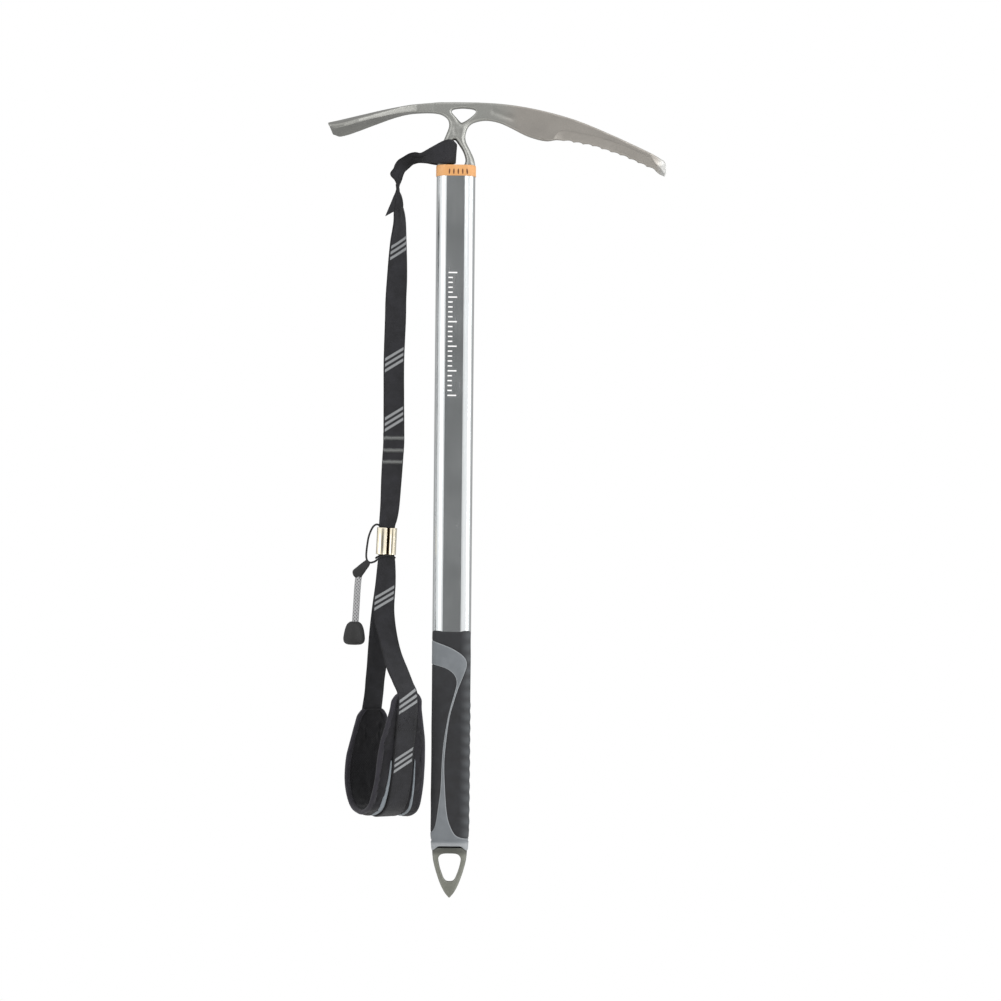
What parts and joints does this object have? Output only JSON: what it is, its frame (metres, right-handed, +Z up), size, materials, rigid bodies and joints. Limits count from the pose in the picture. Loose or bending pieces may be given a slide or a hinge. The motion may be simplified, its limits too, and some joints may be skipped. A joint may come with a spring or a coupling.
{
  "type": "ice axe",
  "caption": "Walking ice axe: steel head with toothed pick, scooped adze and carry hole, oval aluminium shaft, rubber grip, steel spike and a webbing leash with slider and padded wrist cuff.",
  "frame": {"origin": "centre of the carry hole in the head, halfway through its thickness", "axes": "+Z up the shaft towards the head, +X along the pick, +Y away from the viewer, across the blade"},
  "size_m": [0.2753, 0.075, 0.65],
  "materials": {
    "head_steel": "satin cast and blasted steel",
    "spike_steel": "satin steel",
    "shaft_metal": "satin anodised extrusion",
    "rivet_steel": "plain steel",
    "collar_plastic": "orange moulded plastic",
    "grip_rubber": "matt black moulded rubber",
    "inlay_rubber": "matt grey moulded rubber",
    "webbing": "black woven nylon webbing",
    "cuff_fabric": "black woven cover",
    "cuff_foam": "closed cell foam",
    "lining_fabric": "soft brushed lining",
    "piping": "light grey-blue piping",
    "thread": "grey stitching thread",
    "slider_brass": "polished pale brass",
    "cord": "black braided cord",
    "pull_fabric": "light grey braided cord",
    "pull_rubber": "matt black rubber"
  },
  "bodies": {
    "axe": {"head_casting": "head_steel", "shaft_tube": "shaft_metal", "shaft_collar": "collar_plastic", "head_rivets": "rivet_steel", "grip_sleeve": "grip_rubber", "grip_overlay": "inlay_rubber", "spike": "spike_steel", "spike_rivet": "rivet_steel", "hitch_loop": "webbing", "leash_knot": "webbing"},
    "leash_neck": {"strap_neck": "webbing"},
    "leash": {"leash_tail": "webbing", "strap_upper": "webbing", "strap_return": "webbing", "bar_tacks": "thread", "strap_gather": "webbing", "strand_front": "webbing", "strand_back": "webbing", "cuff_foam": "cuff_foam", "cuff_cover": "cuff_fabric", "cuff_lining": "lining_fabric", "cuff_strap": "webbing", "cuff_piping": "piping", "cuff_binding": "cuff_fabric", "cuff_tacks": "thread"},
    "slider": {"slider_barrel": "slider_brass", "slider_cord": "cord"},
    "pull": {"pull_sleeve": "pull_rubber", "pull_cord": "pull_fabric", "pull_ball": "pull_rubber"}
  },
  "joints": [
    {"name": "leash_fore_aft", "type": "hinge", "parent": "axe", "child": "leash_neck", "pos_m": [-0.053, 0, -0.061], "axis": [1, 0, 0], "range_deg": [-90, 90]},
    {"name": "leash_side", "type": "hinge", "parent": "leash_neck", "child": "leash", "pos_m": [-0.053, 0, -0.061], "axis": [0, 1, 0], "range_deg": [-0.5, 90]},
    {"name": "slider_slide", "type": "slide", "parent": "leash", "child": "slider", "axis": [0.0401, 0, 0.9992], "range_m": [-0.06, 0.024]},
    {"name": "pull_swing", "type": "hinge", "parent": "slider", "child": "pull", "pos_m": [-0.0766, 0, -0.366], "axis": [0, 1, 0], "range_deg": [-2.5, 100]}
  ]
}
